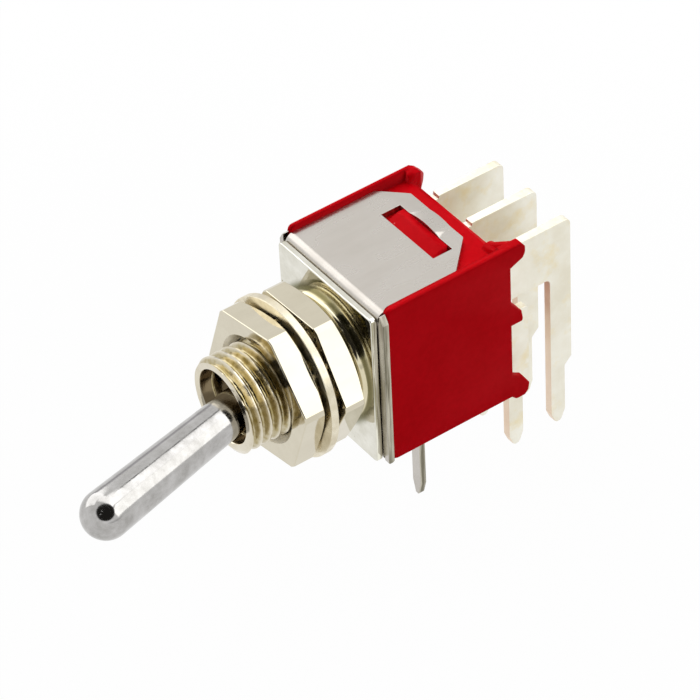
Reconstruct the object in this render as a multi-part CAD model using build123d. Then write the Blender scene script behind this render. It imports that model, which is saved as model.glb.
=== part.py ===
from build123d import *
import math
import os

# Subminiature two-pole toggle switch with right-angle circuit-board pins.
# Millimetres. The origin is on the bushing's axis, in the plane of the front nut's outer face.
# +X is right seen from the lever's end, +Y runs back to the terminals, +Z is up, pins point down.

# ---- bushing: turned barrel with a rectangular flange, swaged through the frame ----
THREAD_R = 2.415
FREE_THREAD = 1.98
MOUTH_CHAMFER = 0.16
MOUTH_R = 1.87
MOUTH_BEVEL = 0.12
NECK_BORE_R = 1.46
NECK_BORE_AHEAD = 1.25
BALL_CLEARANCE = 0.03
SEAT_ANGLE = 32.0
TAIL_BORE_R = 2.2
FLANGE_HALF_WIDTH = 3.6
FLANGE_HEIGHT = 8.7
FLANGE_THICKNESS = 0.34
FLANGE_CORNER_R = 0.2
SWAGE_R = 2.6
SWAGE_LIP = 0.28
SWAGE_LIP_THICKNESS = 0.26
SWAGE_GAP = 0.02

# ---- nuts and lock washer on the barrel ----
NUT_ACROSS_FLATS = 7.0
NUT_THICKNESS = 1.12
NUT_CORNER_BEVEL = 0.1
NUT_BORE_CLEARANCE = 0.02
NUT_COUNTERSINK = 0.32
NUT_CHAMFER_DEPTH = 0.2
NUT_CHAMFER_START_R = 3.45
FRONT_NUT_TURN = 10.8
REAR_NUT_TURN = 3.3
NUT_TO_WASHER = 0.22
WASHER_R = 4.08
WASHER_INNER_R = 3.1
WASHER_THICKNESS = 0.4
WASHER_TO_NUT = 0.43
TOOTH_COUNT = 12
TOOTH_TIP_R = 2.52
TOOTH_WIDTH = 0.86
TOOTH_THICKNESS = 0.3
TOOTH_TWIST = 28.0
NUT_TO_FLANGE = 0.73

# ---- frame: one strip of stainless sheet folded to a U ----
SHEET = 0.34
FLANGE_TO_FRAME = 0.03
FRAME_HALF_WIDTH = 3.56
EAR_WIDTH = 0.44
FRAME_HALF_HEIGHT = 4.52
FRAME_LENGTH = 6.34
BEND_R = 0.44
INNER_BEND_R = 0.08
WEB_HOLE_CLEARANCE = 0.02
EAR_CHAMFER_WIDTH = 0.24
EAR_CHAMFER_HEIGHT = 0.42
EAR_BOTTOM = -4.38
EAR_BOTTOM_R = 0.12
BEND_RELIEF_WIDTH = 0.14
LEFT_REAR_CHAMFER = 1.2
RIGHT_REAR_CHAMFER = 1.9
REAR_CORNER_R = 0.14
WINDOW_HALF_WIDTH = 2.0
WINDOW_LENGTH = 1.09
WINDOW_START = 4.36
LIP_RISE = 0.16
LIP_SLOPE = 7
LIP_HALF_WIDTH = 1.08
LIP_CENTRE = -0.12
TONGUE_HALF_WIDTH = 1.95
LOWER_WINDOW_HALF_WIDTH = 1.4
SUPPORT_PIN_SPACING = 5.08
SUPPORT_PIN_WIDTH = 0.6
SUPPORT_PIN_FROM_WEB = 2.56
PIN_TIP = -8.77
SUPPORT_TIP_TAPER = 0.75
SUPPORT_TIP_WIDTH = 0.2

# ---- housing: moulded case, open to the front, closed by the frame and flange ----
FIN_GAP = 0.02
FIN_THICKNESS = 0.34
FIN_TOP = 4.77
FIN_BOTTOM = -4.41
HOUSING_LENGTH = 6.97
FIN_CORNER_R = 0.3
CASE_CORNER_CLEARANCE = 0.04
FIN_EDGE = 0.09
CHAMBER_HALF_WIDTH = 3.2
CHAMBER_HALF_HEIGHT = 3.62
REAR_WALL = 1.25
BARRIER_HALF = 0.32
BARRIER_DEPTH = 2.4
RIDGE_SIDE_GAP = 0.22
RIDGE_HEIGHT = 0.34
RIDGE_FRONT_LIP = 0.03
RIDGE_CREST = 0.3
RIDGE_END_CHAMFER = 0.12
RIDGE_END_GAP = 0.03
NUB_WIDTH = 0.64
NUB_ROOT = 0.4
NUB_ROUNDING = 0.16
NUB_FLAT = 0.35
NUB_INNER_REACH = 0.28
NUB_TOP_CHAMFER = 0.18
TOP_NUB_REACH = 0.93
LEFT_TOP_NUB_REACH = 0.88
LEFT_TOP_NUB_FLAT = 0.06
TOP_NUB_HEIGHT = 1.28
MIDDLE_NUB_REACH = 0.76
MIDDLE_NUB_BASE = 0.0
MIDDLE_NUB_HEIGHT = 1.51
LOWER_NUB_REACH = 1.05
LOWER_NUB_HEIGHT = 1.38
LOWER_NUB_DROP = 0.26
LOWER_NUB_WIDTH = 0.34
KNOB_R = 0.45
KNOB_WIDTH = 0.76

# ---- terminals: flat stamped blanks standing on edge ----
PITCH = 2.54
TERMINAL_THICKNESS = 0.45
ROW_SPACING = 2.54
LOWER_ROW_FROM_CASE = 1.03
PIN_WIDTH = 0.84
LEG_BEHIND_PIN = 0.83
PIN_TAPER = 0.62
PIN_TIP_WIDTH = 0.2
PIN_TIP_FACET = 0.12
BOARD_STOP = -5.4
STOP_CHAMFER = 0.42
ARM_OUTER = 3.58
ARM_INNER = 0.42
NECK_STEP = 0.16
NECK_LENGTH = 0.58
ARM_CORNER_R = 0.34
CROTCH_R = 0.25
BLADE_OUTER = 3.1
BLADE_INNER = 1.0
PAD_THICKNESS = 0.22
PAD_WIDTH = 0.7
PAD_HEIGHT = 1.5
CONTACT_GAP = 0.02

# ---- lever, spring and plunger ----
PIVOT_INSIDE = 0.59
TILT = 13.44
BALL_R = 1.75
LEVER_NECK_R = 1.0
LEVER_NECK_END = 1.3
LEVER_END_R = 1.2
LEVER_LENGTH = 12.1
TAIL_R = 0.8
TAIL_LENGTH = 5.5
POCKET_R = 0.5
POCKET_BOTTOM = 1.9
SPRING_WIRE_R = 0.07
SPRING_GAP = 0.09
SPRING_TURNS = 5
SPRING_WIRE_SIDES = 5
STEM_CLEARANCE = 0.04
STEM_START = 3.6
PLUNGER_STROKE = 0.4
CROSSBAR_GAP = 0.2
CROSSBAR_THICKNESS = 0.9
CROSSBAR_HALF_WIDTH = 0.45
FOOT_R = 0.4
FOOT_REACH = 7.9
FOOT_LENGTH = 1.2

# ---- rocker contacts ----
POLE_HEIGHT = 2.05
ROCKER_WIDTH = 1.7
ROCKER_STRIP = 0.2
ROCKER_TILT = 7.0
ROCKER_ARC_R = 3.9
ROCKER_CLEARANCE = 0.12
ROCKER_ARC_HALF = 2.2
ROCKER_HALF_LENGTH = 2.85
FULCRUM_CLEARANCE = 0.03
BEAD_R = 0.3
BEAD_HEIGHT = 0.1
BEAD_LENGTH = 1.0
LIP_OFFSET = 0.3
LIP_WIDTH = 0.12
LIP_DEPTH = 0.16

# ---- places worked out from the sizes above ----
NUT_CIRCUMRADIUS = NUT_ACROSS_FLATS / math.sqrt(3)
WASHER_FRONT = NUT_THICKNESS + NUT_TO_WASHER
REAR_NUT_FRONT = WASHER_FRONT + WASHER_THICKNESS + WASHER_TO_NUT
FLANGE_FRONT = REAR_NUT_FRONT + NUT_THICKNESS + NUT_TO_FLANGE
FLANGE_BACK = FLANGE_FRONT + FLANGE_THICKNESS
WEB_FRONT = FLANGE_BACK + FLANGE_TO_FRAME
CASE_FRONT = WEB_FRONT + SHEET
CASE_REAR = CASE_FRONT + HOUSING_LENGTH
CHAMBER_REAR = CASE_REAR - REAR_WALL
FLOOR = FRAME_HALF_HEIGHT - SHEET
EAR_HALF_WIDTH = FRAME_HALF_WIDTH + EAR_WIDTH
FIN_INNER = FRAME_HALF_WIDTH + FIN_GAP
CASE_HALF_WIDTH = FIN_INNER + FIN_THICKNESS
WINDOW_REAR = WEB_FRONT + WINDOW_START + WINDOW_LENGTH
SWAGE_END = CASE_FRONT + SWAGE_GAP + SWAGE_LIP_THICKNESS
LOWER_ROW = CASE_REAR + LOWER_ROW_FROM_CASE
UPPER_ROW = LOWER_ROW + ROW_SPACING
PIVOT = PIVOT_INSIDE
FOOT_TIP = PIVOT + FOOT_REACH + FOOT_R
ROCKER_FACE = FOOT_TIP + ROCKER_CLEARANCE
FULCRUM_R = TERMINAL_THICKNESS / 2
FULCRUM = ROCKER_FACE + ROCKER_STRIP + FULCRUM_CLEARANCE + FULCRUM_R
ARC_CENTRE = ROCKER_FACE - ROCKER_ARC_R
WING_FACE = ARC_CENTRE + math.sqrt(ROCKER_ARC_R**2 - ROCKER_ARC_HALF**2)


def turned(points):
    """A turned solid: the outline is (radius, y) and it is revolved about the Y axis."""
    outline = make_face(Polyline([(r, y) for r, y in points], close=True))
    return revolve(outline, Axis.Y)


def sheet_on_edge(points, x_middle, thickness, rounded=()):
    """A flat blank in the YZ plane, of the given thickness about x_middle.
    rounded holds (y, z, radius) for the corners that are rounded."""
    blank = make_face(Plane.YZ * Polyline(points, close=True))
    for y, z, radius in rounded:
        corner = min(blank.vertices(), key=lambda v: abs(v.Y - y) + abs(v.Z - z))
        blank = fillet(corner, radius)
    return Pos(x_middle - thickness / 2, 0, 0) * extrude(blank, amount=thickness, dir=(1, 0, 0))


def block(x0, x1, y0, y1, z0, z1):
    centre = ((x0 + x1) / 2, (y0 + y1) / 2, (z0 + z1) / 2)
    return Pos(*centre) * Box(x1 - x0, y1 - y0, z1 - z0)


def bushing():
    flange = block(-FLANGE_HALF_WIDTH, FLANGE_HALF_WIDTH, FLANGE_FRONT, FLANGE_BACK,
                   -FLANGE_HEIGHT / 2, FLANGE_HEIGHT / 2)
    flange = fillet(flange.edges().filter_by(Axis.Y), FLANGE_CORNER_R)
    lip_start = CASE_FRONT + SWAGE_GAP
    barrel = turned([
        (0, -FREE_THREAD),
        (THREAD_R - MOUTH_CHAMFER, -FREE_THREAD),
        (THREAD_R, -FREE_THREAD + MOUTH_CHAMFER),
        (THREAD_R, FLANGE_FRONT + FLANGE_THICKNESS / 2),
        (SWAGE_R, FLANGE_FRONT + FLANGE_THICKNESS / 2),
        (SWAGE_R, lip_start),
        (SWAGE_R + SWAGE_LIP, lip_start),
        (SWAGE_R, SWAGE_END),
        (0, SWAGE_END),
    ])
    # the seat is a cone that just clears the ball; it runs from the neck out to the ball's own bore
    seat_r = BALL_R + BALL_CLEARANCE
    lean = math.radians(SEAT_ANGLE)
    seat_apex = PIVOT - seat_r / math.sin(lean)
    bore = turned([
        (0, -FREE_THREAD - 1),
        (MOUTH_R + MOUTH_BEVEL, -FREE_THREAD - 1),
        (MOUTH_R + MOUTH_BEVEL, -FREE_THREAD),
        (MOUTH_R, -FREE_THREAD + MOUTH_BEVEL),
        (NECK_BORE_R, PIVOT - NECK_BORE_AHEAD),
        (NECK_BORE_R, seat_apex + NECK_BORE_R / math.tan(lean)),
        (seat_r, seat_apex + seat_r / math.tan(lean)),
        (seat_r, PIVOT + BALL_R),
        (TAIL_BORE_R, FLANGE_BACK),
        (TAIL_BORE_R, SWAGE_END + 1),
        (0, SWAGE_END + 1),
    ])
    return flange + barrel - bore


def panel_nut(front, turn):
    """Hex nut: flat front face with a countersunk bore, conical chamfer on the rear corners."""
    hexagon = Plane.XZ * Rot(0, 0, turn) * RegularPolygon(NUT_CIRCUMRADIUS, 6)
    body = Pos(0, front, 0) * extrude(hexagon, amount=NUT_THICKNESS, dir=(0, 1, 0))
    back = front + NUT_THICKNESS
    envelope = turned([
        (0, front),
        (NUT_CIRCUMRADIUS - NUT_CORNER_BEVEL, front),
        (NUT_CIRCUMRADIUS - NUT_CORNER_BEVEL, back - NUT_CHAMFER_DEPTH),
        (NUT_CHAMFER_START_R, back),
        (0, back),
    ])
    bore_r = THREAD_R + NUT_BORE_CLEARANCE
    bore = turned([
        (0, front - 1),
        (bore_r + NUT_COUNTERSINK, front - 1),
        (bore_r + NUT_COUNTERSINK, front),
        (bore_r, front + NUT_COUNTERSINK),
        (bore_r, back + 1),
        (0, back + 1),
    ])
    return (body & envelope) - bore


def panel_nuts():
    front_nut = panel_nut(0, FRONT_NUT_TURN)
    rear_nut = panel_nut(REAR_NUT_FRONT, REAR_NUT_TURN)
    return Compound(children=[front_nut.solid(), rear_nut.solid()])


def lock_washer():
    """Internal-tooth lock washer: a flat ring whose inner teeth are each twisted on a radius."""
    back = WASHER_FRONT + WASHER_THICKNESS
    washer = turned([
        (WASHER_INNER_R, WASHER_FRONT),
        (WASHER_R, WASHER_FRONT),
        (WASHER_R, back),
        (WASHER_INNER_R, back),
    ])
    root = 0.12
    length = WASHER_INNER_R - TOOTH_TIP_R + root
    middle = (WASHER_INNER_R + root + TOOTH_TIP_R) / 2
    tooth = Pos(middle, 0, 0) * Rot(TOOTH_TWIST, 0, 0) * Box(length, TOOTH_THICKNESS, TOOTH_WIDTH)
    mid_plane = WASHER_FRONT + WASHER_THICKNESS / 2
    for k in range(TOOTH_COUNT):
        washer += Pos(0, mid_plane, 0) * Rot(0, 360 * k / TOOTH_COUNT, 0) * tooth
    return washer


def support_pin(x_middle):
    """Board pin folded down from the lower leg of the frame, with a tapered tip."""
    half = SUPPORT_PIN_WIDTH / 2
    front = WEB_FRONT + SUPPORT_PIN_FROM_WEB
    taper_start = PIN_TIP + SUPPORT_TIP_TAPER
    face = make_face(Plane.XZ * Polyline([
        (-half, -FRAME_HALF_HEIGHT),
        (half, -FRAME_HALF_HEIGHT),
        (half, taper_start),
        (SUPPORT_TIP_WIDTH / 2, PIN_TIP),
        (-SUPPORT_TIP_WIDTH / 2, PIN_TIP),
        (-half, taper_start),
    ], close=True))
    return Pos(x_middle, front, 0) * extrude(face, amount=SHEET, dir=(0, 1, 0))


def frame_ear(side):
    """The web's flat edge beside the bends: a narrow ear with its upper corner clipped."""
    inner = FRAME_HALF_WIDTH
    relief = inner + BEND_RELIEF_WIDTH
    below_bend = FRAME_HALF_HEIGHT - BEND_R
    outline = make_face(Plane.XZ * Polyline([
        (side * inner, -below_bend),
        (side * relief, -below_bend),
        (side * relief, EAR_BOTTOM),
        (side * EAR_HALF_WIDTH, EAR_BOTTOM),
        (side * EAR_HALF_WIDTH, FRAME_HALF_HEIGHT - EAR_CHAMFER_HEIGHT),
        (side * (EAR_HALF_WIDTH - EAR_CHAMFER_WIDTH), FRAME_HALF_HEIGHT),
        (side * relief, FRAME_HALF_HEIGHT),
        (side * relief, below_bend),
        (side * inner, below_bend),
    ], close=True))
    ear = Pos(0, WEB_FRONT, 0) * extrude(outline, amount=SHEET, dir=(0, 1, 0))
    low_edges = [e for e in ear.edges().filter_by(Axis.X) if abs(e.center().Z - EAR_BOTTOM) < 0.01]
    return fillet(low_edges, EAR_BOTTOM_R)


def clipped_leg(rear):
    """Plan of the upper leg: two clipped rear corners, unlike each other."""
    plan = make_face(Plane.XY * Polyline([
        (-FRAME_HALF_WIDTH, CASE_FRONT), (FRAME_HALF_WIDTH, CASE_FRONT),
        (FRAME_HALF_WIDTH, rear - RIGHT_REAR_CHAMFER), (FRAME_HALF_WIDTH - RIGHT_REAR_CHAMFER, rear),
        (-FRAME_HALF_WIDTH + LEFT_REAR_CHAMFER, rear), (-FRAME_HALF_WIDTH, rear - LEFT_REAR_CHAMFER),
    ], close=True))
    for x in (FRAME_HALF_WIDTH - RIGHT_REAR_CHAMFER, -FRAME_HALF_WIDTH + LEFT_REAR_CHAMFER):
        corner = min(plan.vertices(), key=lambda v: abs(v.X - x) + abs(v.Y - rear))
        plan = fillet(corner, REAR_CORNER_R)
    return plan


def frame():
    rear = WEB_FRONT + FRAME_LENGTH
    top = FRAME_HALF_HEIGHT
    beyond = top + 1
    strip = sheet_on_edge([
        (rear, top), (WEB_FRONT, top), (WEB_FRONT, -top), (rear, -top),
        (rear, -FLOOR), (CASE_FRONT, -FLOOR), (CASE_FRONT, FLOOR), (rear, FLOOR),
    ], 0, 2 * FRAME_HALF_WIDTH, rounded=[
        (WEB_FRONT, top, BEND_R), (WEB_FRONT, -top, BEND_R),
        (CASE_FRONT, FLOOR, INNER_BEND_R), (CASE_FRONT, -FLOOR, INNER_BEND_R),
    ])
    upper_zone = block(-FRAME_HALF_WIDTH - 1, FRAME_HALF_WIDTH + 1, CASE_FRONT, rear + 1, 0, beyond)
    strip -= upper_zone - extrude(clipped_leg(rear), amount=beyond, dir=(0, 0, 1))

    # lower leg: the sides stop at the pins and a centre tongue runs on to the lower snap ridge
    pin_rear = WEB_FRONT + SUPPORT_PIN_FROM_WEB + SHEET
    for side in (-1, 1):
        near = side * TONGUE_HALF_WIDTH
        far = side * (FRAME_HALF_WIDTH + 1)
        strip -= block(min(near, far), max(near, far), pin_rear, rear + 1, -beyond, -FLOOR + SHEET)
        strip += support_pin(side * SUPPORT_PIN_SPACING / 2)
        strip += frame_ear(side)

    window_front = WINDOW_REAR - WINDOW_LENGTH
    for half_width, low, high in ((WINDOW_HALF_WIDTH, 0, beyond), (LOWER_WINDOW_HALF_WIDTH, -beyond, 0)):
        strip -= block(-half_width, half_width, window_front, WINDOW_REAR, low, high)

    # lead-in lip: the strip behind the upper window is pressed up in an arch that falls away to the rear
    arch_r = (LIP_HALF_WIDTH**2 + LIP_RISE**2) / (2 * LIP_RISE)
    arch = Rot(90 - LIP_SLOPE, 0, 0) * Cylinder(arch_r, rear * 2)
    arch = Pos(LIP_CENTRE, WINDOW_REAR, top + LIP_RISE - arch_r) * arch
    arch &= block(-WINDOW_HALF_WIDTH, WINDOW_HALF_WIDTH, WINDOW_REAR, rear, top - SHEET / 2, beyond)
    strip += arch

    hole_r = SWAGE_R + WEB_HOLE_CLEARANCE
    hole = turned([(0, WEB_FRONT - 1), (hole_r, WEB_FRONT - 1), (hole_r, CASE_FRONT + 1), (0, CASE_FRONT + 1)])
    return strip - hole


def nub(side, points, width=NUB_WIDTH):
    """Rounded stand-off on the rear edge of a side wall; points are (reach behind the case, z)."""
    root = [(-NUB_ROOT, points[-1][1]), (-NUB_ROOT, points[0][1])]
    outline = [(CASE_REAR + reach, z) for reach, z in points + root]
    rounded = [(y, z, NUB_ROUNDING) for y, z in outline if y > CASE_REAR + NUB_ROUNDING]
    solid = sheet_on_edge(outline, side * (CASE_HALF_WIDTH - width / 2), width, rounded)
    outer_rim = [e for e in solid.edges() if abs(e.center().X) > CASE_HALF_WIDTH - 0.01]
    return chamfer(outer_rim, FIN_EDGE)


def top_nub(side):
    root = FIN_TOP - TOP_NUB_HEIGHT
    if side > 0:
        reach, flat = TOP_NUB_REACH, NUB_FLAT
        points = [(0, root), (reach - 0.14, root + 0.34), (reach, root + 0.6), (reach, FIN_TOP - 0.34),
                  (reach - 0.25, FIN_TOP), (0, FIN_TOP)]
    else:
        reach, flat = LEFT_TOP_NUB_REACH, LEFT_TOP_NUB_FLAT
        points = [(0, root), (reach - 0.12, root + 0.05), (reach, root + 0.32), (reach - 0.28, FIN_TOP - 0.52),
                  (reach / 3, FIN_TOP - 0.19), (0, FIN_TOP)]
    # the inner side runs off at a slant towards the gate
    inner = CASE_HALF_WIDTH - NUB_WIDTH
    tip = CASE_REAR + reach + 0.1
    slant = Polygon(
        (side * (inner - 0.1), tip), (side * (inner - 0.1), CASE_REAR + NUB_INNER_REACH),
        (side * inner, CASE_REAR + NUB_INNER_REACH), (side * (CASE_HALF_WIDTH - flat), CASE_REAR + reach),
        (side * (CASE_HALF_WIDTH - flat), tip), align=None)
    solid = nub(side, points) - extrude(slant, amount=FIN_TOP + 1, dir=(0, 0, 1))
    bar = Box(NUB_TOP_CHAMFER * 2**0.5, 3, NUB_TOP_CHAMFER * 2**0.5)
    return solid - Pos(side * inner, CASE_REAR, FIN_TOP) * Rot(0, 45, 0) * bar


def middle_nub(side):
    reach = MIDDLE_NUB_REACH
    top = MIDDLE_NUB_BASE + MIDDLE_NUB_HEIGHT
    return nub(side, [(0, top), (reach - 0.1, top - 0.87), (reach, MIDDLE_NUB_BASE), (0, MIDDLE_NUB_BASE)])


def lower_nub(side):
    reach = LOWER_NUB_REACH
    low = FIN_BOTTOM - LOWER_NUB_DROP
    top = FIN_BOTTOM + LOWER_NUB_HEIGHT
    return nub(side, [(0, top), (reach - 0.4, top - 0.38), (reach, FIN_BOTTOM + 0.36), (reach - 0.06, FIN_BOTTOM),
                      (reach - 0.3, low), (reach / 4, low), (0, FIN_BOTTOM)], LOWER_NUB_WIDTH)


def snap_ridge(sign, half_width):
    """Ridge that stands in a window of the frame: a ramp to the front and a step to the rear."""
    base = sign * (FLOOR - 0.1)
    crest = sign * (FLOOR + RIDGE_HEIGHT)
    step = WINDOW_REAR - RIDGE_END_GAP
    ramp = WINDOW_REAR - WINDOW_LENGTH + RIDGE_END_GAP
    crest_front = step - RIDGE_CREST
    ridge = sheet_on_edge([
        (ramp, base), (ramp, sign * (FLOOR + RIDGE_FRONT_LIP)), (crest_front, crest), (step, crest), (step, base),
    ], 0, 2 * (half_width - RIDGE_SIDE_GAP), rounded=[(crest_front, crest, RIDGE_CREST * 0.8)])
    ends = [e for e in ridge.edges()
            if abs(e.center().X) > half_width - RIDGE_SIDE_GAP - 0.01 and abs(e.center().Z) > FLOOR]
    return chamfer(ends, RIDGE_END_CHAMFER)


def case_shell():
    """The moulded box between the fins, its side fins and their rounded edges, still solid inside."""
    shell = block(-CASE_HALF_WIDTH, CASE_HALF_WIDTH, CASE_FRONT, CASE_REAR, -FLOOR, FLOOR)
    front_edges = [e for e in shell.edges().filter_by(Axis.X) if abs(e.center().Y - CASE_FRONT) < 0.01]
    shell = chamfer(front_edges, INNER_BEND_R + CASE_CORNER_CLEARANCE)
    rear_edge = [e for e in shell.edges().filter_by(Axis.X)
                 if abs(e.center().Y - CASE_REAR) < 0.01 and e.center().Z > 0]
    shell = fillet(rear_edge, FIN_CORNER_R)
    for side in (-1, 1):
        fin = sheet_on_edge([
            (CASE_FRONT, FIN_TOP), (CASE_REAR, FIN_TOP), (CASE_REAR, FIN_BOTTOM), (CASE_FRONT, FIN_BOTTOM),
        ], side * (FIN_INNER + CASE_HALF_WIDTH) / 2, FIN_THICKNESS, rounded=[
            (CASE_FRONT, FIN_TOP, FIN_CORNER_R), (CASE_FRONT, FIN_BOTTOM, FIN_CORNER_R),
        ])
        outer = [e for e in fin.edges() if abs(abs(e.center().X) - CASE_HALF_WIDTH) < 0.01]
        fin = chamfer(outer, FIN_EDGE)
        shell += fin
    return shell


def housing():
    case = case_shell()

    # contact chambers: one space behind the frame, split by a barrier between the two poles
    case -= block(-CHAMBER_HALF_WIDTH, CHAMBER_HALF_WIDTH, CASE_FRONT - 1, CHAMBER_REAR,
                  -CHAMBER_HALF_HEIGHT, CHAMBER_HALF_HEIGHT)
    case += block(-CHAMBER_HALF_WIDTH - 0.1, CHAMBER_HALF_WIDTH + 0.1, CHAMBER_REAR - BARRIER_DEPTH,
                  CHAMBER_REAR + 0.1, -BARRIER_HALF, BARRIER_HALF)
    case += snap_ridge(1, WINDOW_HALF_WIDTH)
    case += snap_ridge(-1, LOWER_WINDOW_HALF_WIDTH)

    # stand-off nubs on the rear edges of the side walls, and the gate's knob beside the right upper one
    for side in (-1, 1):
        case += top_nub(side)
        case += middle_nub(side)
        case += lower_nub(side)
    knob = Rot(0, 90, 0) * Cylinder(KNOB_R, KNOB_WIDTH)
    case += Pos(CASE_HALF_WIDTH - NUB_WIDTH - KNOB_WIDTH / 2, CASE_REAR - KNOB_R / 2, FLOOR - KNOB_R / 2) * knob

    for x in (-PITCH, 0, PITCH):
        case -= upper_terminal(x)
        case -= lower_terminal(x)
    return case


def terminal_blank(x, points, rounded):
    return sheet_on_edge(points, x, TERMINAL_THICKNESS, rounded)


def pin_outline(row):
    """The board pin below its stop: rear shoulder, shank and tapered tip, from rear to front."""
    rear = row + LEG_BEHIND_PIN
    half = PIN_WIDTH / 2
    tip_half = PIN_TIP_WIDTH / 2
    facet = PIN_TIP_FACET
    return [
        (rear, BOARD_STOP + STOP_CHAMFER), (row + half, BOARD_STOP),
        (row + half, PIN_TIP + PIN_TAPER), (row + tip_half + facet, PIN_TIP + facet), (row + tip_half, PIN_TIP),
        (row - tip_half, PIN_TIP), (row - tip_half - facet, PIN_TIP + facet), (row - half, PIN_TIP + PIN_TAPER),
    ]


def blade_front(x):
    """Where the blade ends inside: at the pad on the outer terminals, at the fulcrum on the common."""
    if x == 0:
        return FULCRUM - FULCRUM_R
    return pad_face() + PAD_THICKNESS


def finish_blade(blank, x):
    """The common terminal's front edge is rounded, because the rocker tilts on it."""
    if x != 0:
        return blank
    front = [e for e in blank.edges().filter_by(Axis.Z) if abs(e.center().Y - blade_front(x)) < 0.01]
    return fillet(front, FULCRUM_R - 0.01)


def upper_terminal(x):
    neck_end = CASE_REAR + NECK_LENGTH
    shoulder = CHAMBER_REAR
    front = UPPER_ROW - PIN_WIDTH / 2
    rear = UPPER_ROW + LEG_BEHIND_PIN
    points = [
        (blade_front(x), BLADE_INNER), (blade_front(x), BLADE_OUTER), (shoulder, BLADE_OUTER),
        (shoulder, ARM_OUTER - NECK_STEP), (neck_end, ARM_OUTER - NECK_STEP),
        (neck_end, ARM_OUTER), (rear, ARM_OUTER),
    ] + pin_outline(UPPER_ROW) + [
        (front, ARM_INNER), (neck_end, ARM_INNER), (neck_end, ARM_INNER + NECK_STEP),
        (shoulder, ARM_INNER + NECK_STEP), (shoulder, BLADE_INNER),
    ]
    rounded = [(rear, ARM_OUTER, ARM_CORNER_R), (front, ARM_INNER, CROTCH_R)]
    return finish_blade(terminal_blank(x, points, rounded), x)


def lower_terminal(x):
    neck_end = CASE_REAR + NECK_LENGTH
    shoulder = CHAMBER_REAR
    front = LOWER_ROW - PIN_WIDTH / 2
    rear = LOWER_ROW + LEG_BEHIND_PIN
    points = [
        (blade_front(x), -BLADE_INNER), (blade_front(x), -BLADE_OUTER), (shoulder, -BLADE_OUTER),
        (shoulder, -ARM_OUTER + NECK_STEP), (front, -ARM_OUTER + NECK_STEP),
    ] + pin_outline(LOWER_ROW)[::-1] + [
        (rear, -ARM_INNER), (neck_end, -ARM_INNER), (neck_end, -ARM_INNER - NECK_STEP),
        (shoulder, -ARM_INNER - NECK_STEP), (shoulder, -BLADE_INNER),
    ]
    rounded = [(rear, -ARM_INNER, ARM_CORNER_R / 2)]
    return finish_blade(terminal_blank(x, points, rounded), x)


def rocked(point_x, point_y, angle):
    """A point of the level rocker after it has tilted about its fulcrum."""
    a = math.radians(angle)
    dx = point_x
    dy = point_y - FULCRUM
    return dx * math.cos(a) - dy * math.sin(a), FULCRUM + dx * math.sin(a) + dy * math.cos(a)


def pad_face():
    """The pad's face meets the rocker's bead when that side is closed."""
    bead_crest = WING_FACE + ROCKER_STRIP + BEAD_HEIGHT
    return rocked(-PITCH, bead_crest, -ROCKER_TILT)[1] + CONTACT_GAP


def contact_pad(x, z):
    pad = block(x - PAD_WIDTH / 2, x + PAD_WIDTH / 2, pad_face(), pad_face() + PAD_THICKNESS,
                z - PAD_HEIGHT / 2, z + PAD_HEIGHT / 2)
    front = [e for e in pad.edges() if abs(e.center().Y - pad_face()) < 0.01]
    return chamfer(front, PAD_THICKNESS / 3)


def rocker(z):
    """Formed strip: a cupped middle that the plunger's foot slides in, and two flat wings."""
    back_r = ROCKER_ARC_R + ROCKER_STRIP
    ring = Pos(0, ARC_CENTRE) * (Circle(back_r) - Circle(ROCKER_ARC_R))
    cup = ring & Pos(0, ROCKER_FACE) * Rectangle(2 * ROCKER_ARC_HALF, 2 * ROCKER_ARC_R)
    profile = cup
    for side in (-1, 1):
        wing_middle = side * (ROCKER_ARC_HALF - 0.1 + ROCKER_HALF_LENGTH) / 2
        wing_length = ROCKER_HALF_LENGTH - ROCKER_ARC_HALF + 0.1
        profile += Pos(wing_middle, WING_FACE + ROCKER_STRIP / 2) * Rectangle(wing_length, ROCKER_STRIP)
        lip_x = side * (LIP_OFFSET + LIP_WIDTH / 2)
        lip_y = ROCKER_FACE + ROCKER_STRIP / 2 + LIP_DEPTH / 2
        profile += Pos(lip_x, lip_y) * Rectangle(LIP_WIDTH, ROCKER_STRIP + LIP_DEPTH)
    strip = extrude(profile, amount=ROCKER_WIDTH / 2, both=True)
    for side in (-1, 1):
        bead_y = WING_FACE + ROCKER_STRIP + BEAD_HEIGHT - BEAD_R
        bead = Pos(side * PITCH, bead_y, 0) * Cylinder(BEAD_R, BEAD_LENGTH)
        strip += bead & block(-5, 5, WING_FACE + ROCKER_STRIP / 2, FULCRUM, -ROCKER_WIDTH, ROCKER_WIDTH)
    level = Pos(0, -FULCRUM, z) * strip
    return Pos(0, FULCRUM, 0) * Rot(0, 0, -ROCKER_TILT) * level


def at_rest(part):
    """From the lever's own frame (ball at the origin, tail along +Y) to its place in the switch."""
    return Pos(0, PIVOT, 0) * Rot(0, 0, TILT) * part


def lever():
    """Ball, drilled tail and tapered bat with a domed end, turned in one piece."""
    dome_centre = LEVER_LENGTH - LEVER_END_R
    bat = turned([
        (0, 0), (LEVER_NECK_R, 0), (LEVER_NECK_R, -LEVER_NECK_END),
        (LEVER_END_R, -dome_centre), (0, -dome_centre),
    ])
    bat += Pos(0, -dome_centre, 0) * Sphere(LEVER_END_R)
    bat += Sphere(BALL_R)
    bat += turned([(0, 0), (TAIL_R, 0), (TAIL_R, TAIL_LENGTH - 0.15), (TAIL_R - 0.15, TAIL_LENGTH),
                   (0, TAIL_LENGTH)])
    pocket = turned([(0, POCKET_BOTTOM), (POCKET_R, POCKET_BOTTOM), (POCKET_R, TAIL_LENGTH + 1),
                     (0, TAIL_LENGTH + 1)])
    return at_rest(bat - pocket)


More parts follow.
